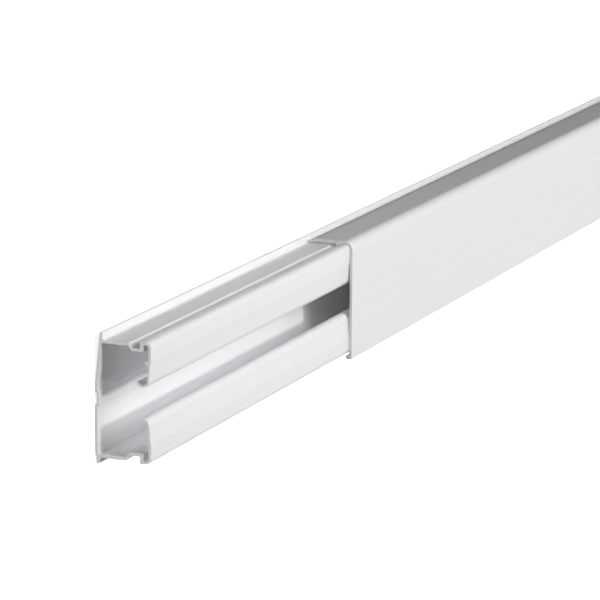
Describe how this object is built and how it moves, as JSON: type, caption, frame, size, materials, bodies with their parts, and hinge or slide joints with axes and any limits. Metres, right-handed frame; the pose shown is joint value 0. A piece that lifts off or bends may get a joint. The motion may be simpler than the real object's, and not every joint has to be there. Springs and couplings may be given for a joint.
{
  "type": "surface cable trunking",
  "caption": "Length of surface cable trunking: a channel with hooked lips along its front slot, and a clip-on cover set back from one end to show the cable chamber.",
  "frame": {"origin": "on the wall plane, half way along the base and half way up the section", "axes": "+X along the trunking, away from the exposed end; +Y up the wall, towards the edge where the cover hooks in; +Z out of the wall"},
  "size_m": [2, 0.0498, 0.0237],
  "materials": {
    "base_plastic": "smooth extruded white, soft sheen",
    "cover_plastic": "smooth extruded white, soft sheen"
  },
  "bodies": {
    "base": {"base": "base_plastic"},
    "cover": {"cover": "cover_plastic"}
  },
  "joints": [
    {"name": "cover_slide", "type": "slide", "parent": "base", "child": "cover", "axis": [1, 0, 0], "range_m": [-0.1985, 1.8215]}
  ]
}
